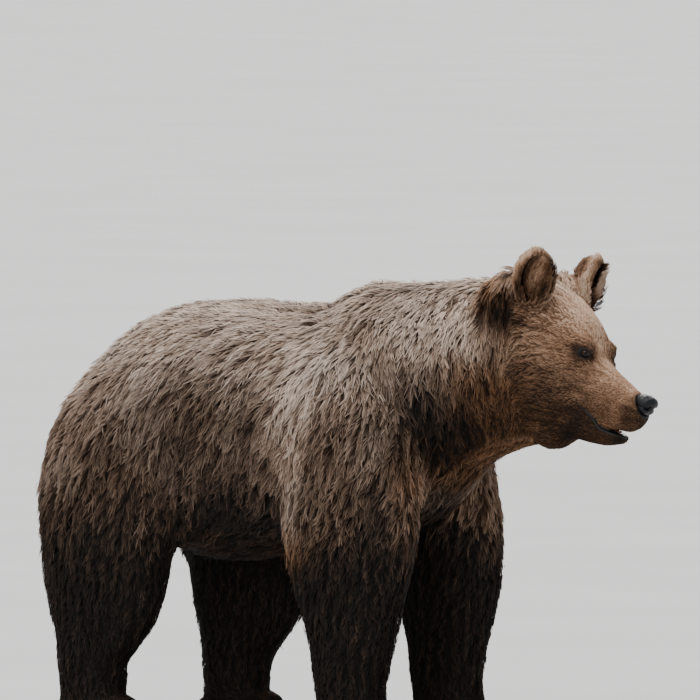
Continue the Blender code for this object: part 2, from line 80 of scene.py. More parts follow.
# For each part of the body: the coat's length, its depth over the skin and its spacing in metres,
# its tone from dark to pale, its warmth from grey-brown to cinnamon, and its shag, which is how
# much it parts into locks.
COAT_FIELDS = ("length", "depth", "spacing", "tone", "warm", "shag")
COATS = {
    "head": (0.012, 0.0045, 0.0025, 0.50, 0.80, 0.30),
    "lower_jaw": (0.009, 0.0030, 0.0025, 0.36, 0.80, 0.15),
    "ear": (0.016, 0.0030, 0.0021, 0.60, 0.75, 0.25),
    "neck": (0.037, 0.0140, 0.0038, 0.55, 0.26, 1.00),
    "trunk": (0.040, 0.0130, 0.0041, 0.50, 0.20, 0.90),
    "tail": (0.028, 0.0080, 0.0041, 0.38, 0.30, 0.50),
    "upper_leg": (0.036, 0.0120, 0.0041, 0.37, 0.30, 0.85),
    "lower_leg": (0.024, 0.0080, 0.0039, 0.31, 0.25, 0.55),
    "paw": (0.008, 0.0022, 0.0029, 0.42, 0.35, 0.10),
}
MUZZLE_DEPTH = 0.0014  # of the shortest coat, at the nose
CUP_RISE = 0.0125  # how far the tufts in an ear's cup stand off it

# The coat's length and spacing on the face, at places ever further behind the nose tip.
FACE_STOPS = (0.02, 0.08, 0.15, 0.22, 0.29, 0.36)
FACE_LENGTHS = (0.0054, 0.0074, 0.0108, 0.017, 0.024, 0.032)
FACE_SPACINGS = (0.0019, 0.0020, 0.0022, 0.0027, 0.0032, 0.0037)

# Where the coat of shoulder and throat sets in, and where it is full, ahead of the frame's middle.
SHOULDER, THROAT = (0.02, 0.18), (0.25, 0.33)

LOCK_WIDTH, LOCK_LENGTH = 0.017, 0.024  # of the locks that the tufts gather in
BEND = 0.42  # how far along a tuft it bends
TUFTS_A_CLUMP = 7  # whose tips lean together

SIDES = {"right": -1.0, "left": 1.0}
EAR_TURN = {"right": 38.0, "left": 14.0}  # degrees that each ear's cup opens outwards from ahead
EAR_REACH = 0.10  # every point of an ear is nearer than this to its middle
EAR_NARROW = 0.74  # an ear's width as a share of its height
EYE_OPENING = (56.0, 42.0)  # degrees from the middle of the eye's opening to its corners and lids
LID_THICKNESS = 0.0012
CAMERA_AZIMUTH, CAMERA_ELEVATION, CAMERA_DISTANCE = 38.0, 2.0, 40.0
VIEW_WIDTH = 1.40  # metres across the picture at the bear
CAMERA_BACK, CAMERA_DOWN = 0.60403, 0.2165  # metres from nose and ear tips to the view's middle

WAVES, STREAK_WAVES = 9, 170  # sine waves in one field of smooth noise and of streaks

rng = np.random.default_rng(7)


# ---- small helpers ----
def norm(v):
    return np.linalg.norm(v, axis=-1)


def unit(v):
    return v / np.maximum(norm(v)[..., None], 1e-9)


def ramp(x, low, high):
    """0 on the low side, 1 on the high side, and smooth between. low may be the larger."""
    t = np.clip((x - low) / (high - low), 0.0, 1.0)
    return t * t * (3 - 2 * t)


def hill(x, width):
    """1 where x is 0, and smoothly down to 0 on both sides over about twice the width."""
    return np.exp(-((x / width) ** 2))


def corners(node):
    low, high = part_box(node)
    return np.array(low), np.array(high)


def middle(node):
    low, high = corners(node)
    return (low + high) / 2


def attach_values(mesh, name, values):
    """Keeps a value for every vertex, which materials read."""
    mesh.attributes.new(name, "FLOAT", "POINT").data.foreach_set("value", values.astype(np.float32))


def place_in_scene(name, data):
    obj = bpy.data.objects.new(name, data)
    bpy.context.scene.collection.objects.link(obj)
    return obj


def add_object(name, mesh, material):
    mesh.materials.clear()
    mesh.materials.append(material)
    return place_in_scene(name, mesh)


def modified(mesh, kind, group=None, **settings):
    """The mesh after one modifier, which a group of its vertices may limit."""
    obj = place_in_scene("working", mesh)
    step = obj.modifiers.new(kind.lower(), kind)
    for key, value in settings.items():
        setattr(step, key, value)
    if group is not None:
        obj.vertex_groups.new(name="some").add(group.tolist(), 1.0, "REPLACE")
        step.vertex_group = "some"
    bpy.context.view_layer.update()
    graph = bpy.context.evaluated_depsgraph_get()
    made = bpy.data.meshes.new_from_object(obj.evaluated_get(graph))
    bpy.data.objects.remove(obj)
    return made


@contextmanager
def reshaped(mesh):
    """The mesh's vertices, edges and faces to work on, written back to it at the end."""
    shape = bmesh.new()
    shape.from_mesh(mesh)
    yield shape
    shape.to_mesh(mesh)
    shape.free()


def shade_smooth(mesh):
    mesh.polygons.foreach_set("use_smooth", np.ones(len(mesh.polygons), dtype=bool))


def rows_of(items, key, width, kind=float):
    """That key of all the items, as an array with a row for each."""
    values = np.empty(len(items) * width, dtype=kind)
    items.foreach_get(key, values)
    return values.reshape(-1, width)


def vertex_arrays(mesh):
    return rows_of(mesh.vertices, "co", 3), rows_of(mesh.vertex_normals, "vector", 3)


def set_places(mesh, places):
    mesh.vertices.foreach_set("co", np.ascontiguousarray(places, dtype=np.float32).ravel())
    mesh.update()


def edge_array(mesh):
    return rows_of(mesh.edges, "vertices", 2, np.int64)


def spread(values, edges, passes):
    """Values at vertices after moving halfway to their neighbours' mean that many times."""
    values = np.asarray(values, dtype=float)
    flat = values.reshape(len(values), -1).copy()
    ends = np.concatenate((edges[:, 0], edges[:, 1]))
    others = np.concatenate((edges[:, 1], edges[:, 0]))
    degree = np.maximum(np.bincount(ends, minlength=len(flat)), 1)
    for _ in range(passes):
        for column in range(flat.shape[1]):
            around = np.bincount(ends, flat[others, column], len(flat)) / degree
            flat[:, column] += 0.5 * (around - flat[:, column])
    return flat.reshape(values.shape)


def waves(points, size, seed):
    """Smooth noise from about -1 to 1, from a few sine waves of about that size."""
    source = np.random.default_rng(seed)
    total = np.zeros(len(points))
    for _ in range(WAVES):
        direction = unit(source.normal(size=3))
        pitch = 2 * math.pi / (size * source.uniform(0.7, 1.6))
        total += np.sin(points @ direction * pitch + source.uniform(0, 2 * math.pi))
    return total / math.sqrt(WAVES) * 0.8


def streaks(points, lie, across, width, length, seed):
    """Noise drawn out along the lie, as locks are, and how it rises across the lie."""
    source = np.random.default_rng(seed)
    value, slope, power = np.zeros((3, len(points)))
    for _ in range(STREAK_WAVES):
        pitch = 2 * math.pi / (width * source.uniform(0.75, 1.4))
        wave = unit(source.normal(size=3)) * pitch
        share = np.exp(-0.5 * (lie @ wave * length) ** 2)
        phase = points @ wave + source.uniform(0, 2 * math.pi)
        value += share * np.sin(phase)
        slope += share * np.cos(phase) * (across @ wave) / pitch
        power += share**2
    scale = np.sqrt(1.0 / np.maximum(power, 0.3))
    return value * scale, slope * scale


# ---- the head's own axes ----
EYES = {side: middle(f"eye_{side}") for side in SIDES}
EYE_RADIUS = float(np.mean([np.ptp(corners(f"eye_{side}"), axis=0) / 2 for side in SIDES]))
NOSE = middle("nose")
HEAD_LEFT = unit(EYES["left"] - EYES["right"])
SIGHT = NOSE - (EYES["left"] + EYES["right"]) / 2
SIGHT = unit(SIGHT - HEAD_LEFT * (SIGHT @ HEAD_LEFT))
DIP = math.radians(18.0)  # how far the nose lies below the muzzle's axis, seen from the eyes
HEAD_AHEAD = SIGHT * math.cos(DIP) + np.cross(SIGHT, HEAD_LEFT) * math.sin(DIP)
HEAD_UP = np.cross(HEAD_AHEAD, HEAD_LEFT)
NOSE_TIP = NOSE + HEAD_AHEAD * 0.017 + HEAD_UP * 0.005
TRUNK_MIDDLE = middle("trunk")


def in_head(points):
    """How far each point is behind the nose tip, to the head's left, and above the nose tip."""
    away = points - NOSE_TIP
    return -(away @ HEAD_AHEAD), away @ HEAD_LEFT, away @ HEAD_UP


def eye_axes(name):
    """Where an eye looks, the line of its lids from the back corner to the front, and up."""
    gaze = unit(HEAD_AHEAD * 0.60 + HEAD_LEFT * SIDES[name] * 0.80 + HEAD_UP * 0.04)
    level = HEAD_AHEAD - HEAD_UP * 0.16
    level = unit(level - gaze * (level @ gaze))
    up = np.cross(gaze, level) * -SIDES[name]
    return gaze, level, up if up @ HEAD_UP > 0 else -up


def lid_place(points, name):
    """How far out in the eye's opening each point is: 1 is the lids' edge, 9 is behind the ball."""
    gaze, level, up = eye_axes(name)
    away = unit(points - EYES[name])
    sideways, lift = away @ level, away @ up
    sideways = sideways * np.where(sideways > 0, 0.92, 1.0)
    long, tall = (math.sin(math.radians(angle)) for angle in EYE_OPENING)
    open_ = np.hypot(sideways / long, lift / tall)
    return np.where(away @ gaze > 0, open_, 9.0)


def ear_axes(name):
    """Where an ear's cup opens, and the directions across it and up it."""
    turn = math.radians(EAR_TURN[name])
    opens = HEAD_AHEAD * math.cos(turn) + HEAD_LEFT * SIDES[name] * math.sin(turn)
    across = np.cross(HEAD_UP, opens)
    return opens, across, HEAD_UP


def in_ear(points, name):
    """How far each point is ahead of, across and above the ear's middle, as shares of its size."""
    opens, across, up = ear_axes(name)
    low, high = corners(f"ear_{name}")
    size = (high[2] - low[2]) / 2
    away = (points - (low + high) / 2) / size
    return away @ opens, away @ across, away @ up


def from_ear(points, name):
    """How far each point is from the middle of that ear."""
    return norm(points - middle(f"ear_{name}"))


def from_eyes(points):
    """How far each point is from the middle of the nearer eye."""
    return np.min([norm(points - eye) for eye in EYES.values()], axis=0)


# The line where the lips meet, as distances behind and above the nose tip.
LIP_LINE = [
    (0.021, -0.078), (0.036, -0.079), (0.056, -0.081),
    (0.076, -0.082), (0.105, -0.067), (0.127, -0.059),
]


def below_lips(behind, above):
    """How far a point is below the line where the lips meet, seen from the side."""
    places, heights = np.array(LIP_LINE).T
    return np.interp(behind, places, heights) - above


# ---- the skin ----
def part_of(node):
    for part in ("ear", "lower_jaw", "upper_leg", "lower_leg", "paw"):
        if part in node:
            return part
    return node if node in COATS else None


FLESH = {name: part_of(name) for name in sorted(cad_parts) if "claw" not in name}
FLESH = {name: part for name, part in FLESH.items() if part}


def flesh_mesh():
    """All the flesh solids in one mesh, with a ball over each eye, and each face's node."""
    mesh = bpy.data.meshes.new("flesh")
    owners = []
    with reshaped(mesh) as shape:
        for name in FLESH:
            before = len(shape.faces)
            shape.from_mesh(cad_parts[name].data)
            owners += [name] * (len(shape.faces) - before)
        tree = BVHTree.FromBMesh(shape)
        bmesh.ops.remove_doubles(shape, verts=shape.verts, dist=WELD)
        for eye in EYES.values():
            ball = bmesh.ops.create_icosphere(shape, subdivisions=3, radius=EYE_RADIUS + 0.0016)
            bmesh.ops.translate(shape, verts=ball["verts"], vec=Vector(eye))
    return mesh, tree, owners


def outer_island(mesh):
    """Deletes every piece of the mesh but the one that its highest vertex is in."""
    edges = edge_array(mesh)
    ends = np.concatenate((edges[:, 0], edges[:, 1]))
    others = np.concatenate((edges[:, 1], edges[:, 0]))[np.argsort(ends, kind="stable")]
    degree = np.bincount(ends, minlength=len(mesh.vertices))
    first = np.cumsum(degree) - degree
    places, _ = vertex_arrays(mesh)
    front = np.array([places[:, 2].argmax()])
    kept = np.zeros(len(places), dtype=bool)
    kept[front] = True
    while len(front):
        steps = []
        for k in range(degree[front].max()):
            some = front[degree[front] > k]
            steps.append(others[first[some] + k])
        reached = np.concatenate(steps)
        front = np.unique(reached[~kept[reached]])
        kept[front] = True
    if not kept.all():
        with reshaped(mesh) as shape:
            shape.verts.ensure_lookup_table()
            loose = [shape.verts[i] for i in np.flatnonzero(~kept)]
            bmesh.ops.delete(shape, geom=loose, context="VERTS")
    return mesh


def divide_where(mesh, near, cuts):
    """Divides the edges whose ends both lie where near gives true."""
    places, _ = vertex_arrays(mesh)
    both = near(places)[edge_array(mesh)].all(axis=1)
    with reshaped(mesh) as shape:
        shape.edges.ensure_lookup_table()
        chosen = [shape.edges[i] for i in np.flatnonzero(both)]
        bmesh.ops.subdivide_edges(shape, edges=chosen, cuts=cuts, use_grid_fill=True)
        bmesh.ops.triangulate(shape, faces=[f for f in shape.faces if len(f.verts) > 4])


def near_eyes(places):
    return from_eyes(places) < 0.021


def near_lips(places):
    behind, _, above = in_head(places)
    return (np.abs(below_lips(behind, above)) < 0.014) & (behind > -0.01) & (behind < 0.135)


def skin_shape():
    """The flesh in one mesh, which stays fine on the face, ears and feet and finest at the lids."""
    flesh, tree, owners = flesh_mesh()
    mesh = outer_island(modified(flesh, "REMESH", mode="VOXEL", voxel_size=VOXEL))
    places, _ = vertex_arrays(mesh)
    behind, _, above = in_head(places)
    face = (behind < 0.21) & (above > -0.16) & (above < 0.13)
    feet = places[:, 2] < 0.035
    ears = np.min([from_ear(places, name) for name in SIDES], axis=0) < 0.072
    fine = face | feet | ears
    share = (2 * fine.sum() + BODY_TRIANGLES) / (2 * len(mesh.polygons))
    thinned = np.flatnonzero(~fine)
    mesh = modified(mesh, "DECIMATE", group=thinned, ratio=share, vertex_group_factor=10.0)
    divide_where(mesh, near_lips, 1)
    divide_where(mesh, near_eyes, 2)
    return mesh, tree, owners


def smoothed(places, edges):
    """Takes the remesh's steps off the skin: a little everywhere, and most behind the jaw."""
    behind, left, above = in_head(places)
    soft = ramp(behind, 0.20, 0.32) * ramp(places[:, 2], 0.03, 0.14)
    for name in SIDES:
        soft = np.minimum(soft, ramp(from_ear(places, name), 0.060, 0.085))
    soft = spread(soft, edges, 6)[:, None]
    places = spread(places, edges, 4) * (1 - soft) + spread(places, edges, 8) * soft
    join = hill(behind - 0.30, 0.055) * ramp(np.abs(left), 0.05, 0.08) * ramp(above, 0.10, 0.06)
    join = join[:, None]
    return places * (1 - join) + spread(places, edges, 30) * join


def lie_of_coat(places, normals, kind):
    """Which way the coat runs: back from the nose, then back and down, and down the legs."""
    side = np.abs(normals[:, 1])[:, None]
    under = np.clip(-normals[:, 2], 0, 1)[:, None]
    down, back = np.array((0.0, 0.0, -1.0)), np.array((-1.0, 0.0, 0.0))
    lie = back * (1.0 - 0.55 * side) + down * (0.25 + 0.80 * side - 0.4 * under)
    shoulder = ramp(places[:, 0], *SHOULDER)[:, None]
    lie = lie + shoulder * (-0.36 * (1 + side) * back + 0.40 * down)
    lie[kind == "upper_leg"] = (-0.30, 0.0, -1.0)
    lie[kind == "lower_leg"] = (-0.18, 0.0, -1.0)
    lie[kind == "paw"] = (0.8, 0.0, -0.5)
    lie[kind == "tail"] = (-0.05, 0.0, -1.0)
    # on the face it runs back, up over the forehead, down the cheeks and out to each side
    behind, left, above = in_head(places)
    forehead = (ramp(behind, 0.14, 0.20) * ramp(above, 0.03, 0.10))[:, None]
    cheek = (ramp(behind, 0.15, 0.28) * ramp(above, 0.05, -0.04))[:, None]
    outwards = (0.35 * np.sign(left) * ramp(np.abs(left), 0.01, 0.05))[:, None]
    run = -HEAD_AHEAD + (0.15 * forehead - 0.10 - 0.65 * cheek) * HEAD_UP + HEAD_LEFT * outwards
    face = np.isin(kind, ("head", "lower_jaw"))
    lie[face] = run[face]
    return unit(lie)


def lie_of_ear(places, nodes, name, lie):
    """On the back of an ear the coat runs up to the rim, and in the cup up and out of it."""
    mine = nodes == f"ear_{name}"
    _, across, up = in_ear(places, name)
    opens, sideways, upwards = ear_axes(name)
    out = upwards + sideways * (0.8 * across * ramp(up, -0.9, 0.1))[:, None] + opens * 0.10
    lie = lie.copy()
    lie[mine] = unit(out[mine])
    return lie


def coat_table(kind, head, behind, edges):
    """The values of COATS at every vertex, run together where parts join, and the ears' share."""
    sharp = np.array([COATS[k] for k in kind])
    ears = spread((kind == "ear").astype(float), edges, 3)[:, None]
    table = spread(sharp, edges, 45) * (1 - ears) + sharp * ears
    # the head's coat grows into the neck's over the whole nape
    rear = ramp(behind, 0.19, 0.42)[:, None]
    nape = ((head > 0.02) | (kind == "neck"))[:, None] * (1 - ears)
    nape = nape * ramp(behind, 0.15, 0.19)[:, None] * ramp(behind, 0.46, 0.42)[:, None]
    grown = np.array(COATS["head"]) * (1 - rear) + np.array(COATS["neck"]) * rear
    return table * (1 - nape) + grown * nape, ears[:, 0]


def coat_depth(places, fields):
    """How deep the skin lies in the solids: least on the muzzle, and nothing at soles and eyes."""
    behind, _, _ = in_head(places)
    muzzle = fields["head"] * (1 - fields["ear"]) * ramp(behind, 0.22, 0.05)
    depth = fields["depth"] * (1 - muzzle) + MUZZLE_DEPTH * muzzle
    return depth * ramp(places[:, 2], 0.0, 0.030) * ramp(from_eyes(places), 0.014, 0.030)


def make_skin():
    mesh, tree, owners = skin_shape()
    edges = edge_array(mesh)
    rough, _ = vertex_arrays(mesh)
    set_places(mesh, smoothed(rough, edges))
    places, normals = vertex_arrays(mesh)
    nodes = np.array([owners[tree.find_nearest(Vector(p))[2]] for p in places])
    kind = np.array([FLESH[n] for n in nodes])
    head = spread(np.isin(kind, ("head", "lower_jaw", "ear")).astype(float), edges, 40)
    table, ear = coat_table(kind, head, in_head(rough)[0], edges)
    lie = spread(lie_of_coat(places, normals, kind), edges, 25)
    for name in SIDES:
        lie = lie_of_ear(places, nodes, name, lie)
    fields = dict(zip(COAT_FIELDS, table.T), head=head, ear=ear, lie=lie)
    fields["depth"] = coat_depth(places, fields)
    places = places - normals * fields["depth"][:, None]
    places = sculpt_lips(places, normals, fields)
    for name in SIDES:
        places = sculpt_lids(places, name)
    set_places(mesh, places)
    return mesh, nodes, fields


def sculpt_lids(places, name):
    """Draws the skin over the eyeball as lids and sinks it behind the ball between them."""
    eye = EYES[name]
    away = places - eye
    gap = norm(away)
    open_ = lid_place(places, name)
    near = ramp(gap, EYE_RADIUS * 1.9, EYE_RADIUS * 1.35) * (open_ < 5)
    covered = ramp(open_, 0.94, 1.02)
    swelling, fold = 0.0006 * hill(open_ - 1.12, 0.10), 0.0007 * hill(open_ - 1.42, 0.08)
    lid, sunk = EYE_RADIUS + LID_THICKNESS + swelling - fold, EYE_RADIUS - 0.0030
    aim = lid * covered + sunk * (1 - covered)
    pull = near * ramp(open_, 1.9, 1.25)
    reach = gap * (1 - pull) + aim * pull
    return eye + away * (reach / np.maximum(gap, 1e-6))[:, None]


def sculpt_lips(places, normals, fields):
    """Rolls the lower lip outwards, sets a crease over it and lets the upper lip hang in front."""
    behind, _, above = in_head(places)
    below = below_lips(behind, above)
    where = fields["head"] * ramp(behind, 0.012, 0.030) * ramp(behind, 0.140, 0.122)
    roll, crease = 0.0016 * hill(below - 0.0045, 0.0038), 0.0012 * hill(below + 0.0012, 0.0018)
    outward = normals * (where * (roll - crease))[:, None]
    hangs = ramp(-below, 0.0005, 0.004) * hill(above + 0.070, 0.022) * hill(behind - 0.020, 0.022)
    return places + outward - HEAD_UP * (0.008 * hangs * fields["head"])[:, None]


# ---- marks, and painted light and shade ----
def lip_band(behind, above):
    """1 on the bare lips: a broad band below the line where they meet and a thin one above."""
    below = below_lips(behind, above)
    broad = 0.0026 + 0.0028 * ramp(behind, 0.126, 0.085)
    band = ramp(below, -0.0034, -0.0014) * ramp(below, broad + 0.0015, broad - 0.0010)
    return band * ramp(behind, 0.010, 0.016) * ramp(behind, 0.131, 0.125)


def bare_skin(places, fields):
    """1 where the skin is bare: the lips, the lids' edges, round the nose pad, and the soles."""
    behind, _, above = in_head(places)
    bare = lip_band(behind, above) * (fields["head"] > 0.5)
    for name in SIDES:
        near = norm(places - EYES[name]) < EYE_RADIUS * 1.6
        bare = np.maximum(bare, near * ramp(lid_place(places, name), 1.24, 1.12))
    round_nose = ramp(norm(places - NOSE), 0.031, 0.024) * fields["head"]
    soles = ramp(places[:, 2], 0.010, 0.004)
    return np.maximum(np.maximum(bare, round_nose), soles)


def on_trunk(places):
    """How far ahead of the rump, above the belly and beside the midline, as shares of the trunk."""
    low, high = corners("trunk")
    ahead, _, height = ((places - low) / (high - low)).T
    return ahead, height, np.abs(places[:, 1]) * 2 / (high[1] - low[1])


def body_markings_and_painted_light(places, normals):
    """What the body's marks, and the light and shade painted on it, add to tone and to warmth."""
    ahead, height, aside = on_trunk(places)
    _, _, above_nose = in_head(places)
    upper, under = ramp(normals[:, 2], 0.0, 0.9), -normals[:, 2]

    # painted light from above: the back and loins are paler where they face upwards
    back = 0.22 * upper * ramp(height, 0.408, 0.752)
    loins = 0.08 * upper * ramp(ahead, 0.686, 0.568)
    croup = 0.04 * ramp(ahead, 0.450, 0.333) * ramp(ahead, 0.195, 0.274) * ramp(height, 0.304, 0.442)
    rump = 0.12 * ramp(ahead, 0.254, 0.156) * ramp(height, 0.166, 0.339)
    shoulder = 0.08 * ramp(ahead, 0.588, 0.735) * ramp(height, 0.235, 0.511)
    # a paler band slants down and back from the hump behind the shoulder
    band = hill(ahead - 0.72 - 0.057 * (height - 0.494), 0.061)
    band = 0.33 * band * ramp(height, -0.023, 0.184) * ramp(height, 0.821, 0.614)
    pale = back + loins + croup + rump + shoulder + band

    # the legs darken towards the ground, partly their own darker fur and partly painted shade
    legs = 0.30 * ramp(height, 0.408, -0.109)
    flank = 0.16 * ramp(height, 0.718, 0.511) + 0.07 * ramp(height, 0.442, 0.304)
    flank = flank * hill(ahead - 0.519, 0.118)
    # painted shade on the belly where it faces down, and low down between the legs
    belly = 0.22 * ramp(under, 0.35, 0.8) * ramp(height, 0.442, 0.235)
    between_legs = 0.12 * ramp(aside, 0.60, 0.40) * ramp(height, 0.166, 0.029)
    # painted shade in the crease in front of the shoulder, and on the neck under it, below the jaw
    crease = hill(ahead - 1.024 + 0.228 * (height - 0.408), 0.061) * hill(height - 0.502, 0.159)
    crease = 0.68 * crease * ramp(aside, 0.12, 0.40)
    neck = 0.20 * ramp(ahead, 0.940, 1.038) * ramp(height, 0.856, 0.580)
    dark = legs + flank + belly + between_legs + crease + neck

    # golden fur edges the fronts of the upper forelegs, the throat and the belly's hem. The forelegs'
    # forward-facing fronts are lightened as a painted highlight, and the throat is darkened with painted
    # shade under the jaw, except on its underside
    edge = ramp(normals[:, 0], 0.55, 0.92) * ramp(height, -0.109, 0.270) * ramp(height, 0.442, 0.304)
    edge = edge * ramp(ahead, 0.784, 0.842) * ramp(aside, 0.16, 0.36)
    chest = ramp(height, 0.580, 0.408) * ramp(height, 0.235, 0.339) * ramp(ahead, 0.921, 0.999)
    throat = np.maximum(chest, ramp(above_nose, -0.02, -0.10) * ramp(ahead, 0.980, 1.097))
    hem = hill(height - 0.072, 0.078) * ramp(ahead, 0.352, 0.431) * ramp(ahead, 0.833, 0.735)
    gold_with_painted_light = 0.24 * edge - (0.16 - 0.24 * ramp(under, 0.55, 0.95)) * throat + 0.06 * hem
    return pale - dark + gold_with_painted_light, 0.25 * edge + 0.70 * throat + 0.55 * hem


def face_markings_and_painted_highlight(places):
    """What the face's marks, and the highlights painted along the top of its nose and on its forehead,
    add to tone and to warmth.
    """
    behind, left, above = in_head(places)
    # painted highlights: the top of the nose and the forehead are paler where light falls on them
    bridge_highlight = hill(left, 0.036) * ramp(above, -0.03, 0.02) * ramp(behind, 0.015, 0.05)
    forehead_highlight = 0.75 * ramp(above, 0.035, 0.085) * ramp(behind, 0.12, 0.17)
    muzzle_side = 0.07 * ramp(behind, 0.20, 0.10) * ramp(above, -0.05, 0.0)
    temple = 0.15 * ramp(above, -0.03, 0.04) * ramp(behind, 0.10, 0.20)
    mouth_corner = 0.12 * hill(behind - 0.135, 0.022) * hill(above + 0.045, 0.014)
    pale = 0.33 * np.maximum(bridge_highlight, forehead_highlight) + muzzle_side + temple + mouth_corner
    cheek = 0.24 * ramp(above, 0.02, -0.07) * ramp(behind, 0.085, 0.15)
    chin = 0.20 * ramp(behind, 0.055, 0.025) * ramp(above, 0.005, -0.03)
    jaw = ramp(below_lips(behind, above), 0.0, 0.012) * ramp(behind, 0.20, 0.13)
    return pale - cheek - chin - 0.11 * jaw, 0.05 + 0.10 * jaw


def eye_markings_and_socket_shade(places, name):
    """The dark round an eye, which runs out at its front corner, and above it painted shade in the eye's
    socket.
    """
    gaze, level, up = eye_axes(name)
    away = places - EYES[name]
    ring = hill(np.hypot(away @ level * 0.75, away @ up), 0.0165) * (away @ gaze > -0.03)
    corner = hill(norm(away - level * 0.017 + up * 0.003), 0.0075)
    socket_shade = hill(norm(away - up * 0.026), 0.018)
    return -0.60 * ring - 0.30 * corner - 0.07 * socket_shade, -0.35 * ring


def markings_behind_ear(places, name):
    """The dark place below and behind an ear, with reddish fur over it."""
    behind, left, above = in_head(places)
    side = SIDES[name]
    flank = ramp(side * left, 0.025, 0.060)
    patch = flank * hill(behind - 0.360 - 0.015 * side, 0.074) * hill(above - 0.072, 0.044)
    ruff = flank * hill(behind - 0.400, 0.040) * hill(above - 0.105, 0.042)
    return 0.12 * ruff - 0.66 * patch, 0.30 * patch + 0.60 * ruff


def ear_cup(places, name):
    """1 in the hollow of the ear, and where in it each point is, across and up."""
    ahead, across, up = in_ear(places, name)
    rim = np.hypot(across / EAR_NARROW, up)
    return ramp(rim, 0.86, 0.70) * ramp(ahead, -0.60, -0.25), across, up


def ear_markings_and_painted_light(places, name):
    """Grooves down the ear's cup, which is darkened with painted shade, and a paler rim, palest on the
    left ear, where painted backlight brightens the rim and the outer side.
    """
    cup, across, up = ear_cup(places, name)
    rim = ramp(np.hypot(across / EAR_NARROW, up), 0.76, 0.95) * ramp(up, -1.1, -0.5)
    if name == "right":
        pale = 0.22 * rim
        groove_shade = np.maximum(hill(across - 0.42, 0.15), hill(across + 0.40, 0.17))
    else:
        # painted backlight: the left ear's rim and outer side are paler still
        pale = 0.36 * rim + 0.30 * ramp(across, 0.30, 0.65)
        groove_shade = hill(across + 0.18, 0.26) - 0.8 * ramp(across, 0.10, 0.40)
    # painted shade in the hollow of the cup, along each groove and towards its bottom
    dark = cup * (0.34 * groove_shade - 0.06 + 0.16 * ramp(up, 0.0, -0.7))
    root = 0.12 * ramp(up, -0.1, -0.8) * ramp(across, 0.5, -0.5)
    return pale - dark - root, 0.10 - 0.15 * rim


def markings_and_painted_light(places, normals, fields):
    """Tone and warmth over the skin, from its marks and from painted light and shade, which both skin and
    coat take their colours from.
    """
    head, ear = fields["head"], fields["ear"]
    face = head * (1 - ear)
    added = [(1 - head, body_markings_and_painted_light(places, normals)), (face, face_markings_and_painted_highlight(places))]
    for name in SIDES:
        mine = ear * (from_ear(places, name) < EAR_REACH)
        added += [
            (face, eye_markings_and_socket_shade(places, name)),
            (1 - ear, markings_behind_ear(places, name)),
            (mine, ear_markings_and_painted_light(places, name)),
        ]
    tone = fields["tone"] + sum(where * lighter for where, (lighter, _) in added)
    warm = fields["warm"] + sum(where * warmer for where, (_, warmer) in added)
    # and faint clouds of several sizes over all of it
    tone += 0.05 * waves(places, 0.14, 3) + 0.05 * waves(places, 0.05, 4) + 0.03 * waves(places, 0.022, 6)
    warm += 0.07 * waves(places, 0.16, 5)
    return np.clip(tone, 0.02, 1.0), np.clip(warm, 0.0, 1.0)


# ---- the coat ----
# A tuft's corners: its root, three round it where it bends, and its tip.
TUFT_FACES = np.array([(0, 2, 1), (0, 3, 2), (0, 1, 3), (4, 1, 2), (4, 2, 3), (4, 3, 1)])
TUFT_ALONG = np.array((0.0, BEND, BEND, BEND, 1.0))
TUFT_ACROSS = np.array((0.5, 0.0, 1.0, 0.5, 0.5))


def triangles_of(mesh):
    mesh.calc_loop_triangles()
    return rows_of(mesh.loop_triangles, "vertices", 3, np.int64)


def sample_roots(tris, places, spacing):
    """Roots spread over the triangles, each with its triangle and its weights in it."""
    a, b, c = (places[tris[:, k]] for k in range(3))
    area = norm(np.cross(b - a, c - a)) / 2
    wanted = area / spacing[tris].mean(axis=1) ** 2
    wanted *= COAT_TRIANGLES / len(TUFT_FACES) / wanted.sum()
    counts = np.floor(wanted + rng.random(len(wanted))).astype(int)
    chosen = np.repeat(np.arange(len(tris)), counts)
    u, v = rng.random(len(chosen)), rng.random(len(chosen))
    over = u + v > 1
    u[over], v[over] = 1 - u[over], 1 - v[over]
    return chosen, np.stack((1 - u - v, u, v), axis=1)


def tuft_directions(roots, normals, lie, shag):
    """Which way each tuft runs and the way across it, and how high in its lock it lies."""
    along = unit(lie - normals * (lie * normals).sum(axis=1, keepdims=True))
    across = np.cross(normals, along)
    curled = roots + across * (0.007 * waves(roots, 0.055, 12) * shag)[:, None]
    locks, slope = streaks(curled, along, across, LOCK_WIDTH, LOCK_LENGTH, 13)
    turn = 0.13 * rng.normal(size=len(roots)) + 0.22 * waves(roots, 0.06, 11)
    turn = (turn + 0.45 * shag * np.tanh(1.4 * slope))[:, None]
    turned = along * np.cos(turn) + across * np.sin(turn)
    return turned, across * np.cos(turn) - along * np.sin(turn), locks


def way_to_clump(tips, length):
    """The way from each tip towards the nearest of those that the others lean to."""
    heads = rng.choice(len(tips), len(tips) // TUFTS_A_CLUMP, replace=False)
    tree = KDTree(len(heads))
    for k, head in enumerate(heads):
        tree.insert(tips[head], k)
    tree.balance()
    nearest = np.array([tree.find(tip)[1] for tip in tips])
    way = tips[heads[nearest]] - tips
    gap = norm(way)
    return way * np.minimum(1.0, 0.40 * length / np.maximum(gap, 1e-6))[:, None]


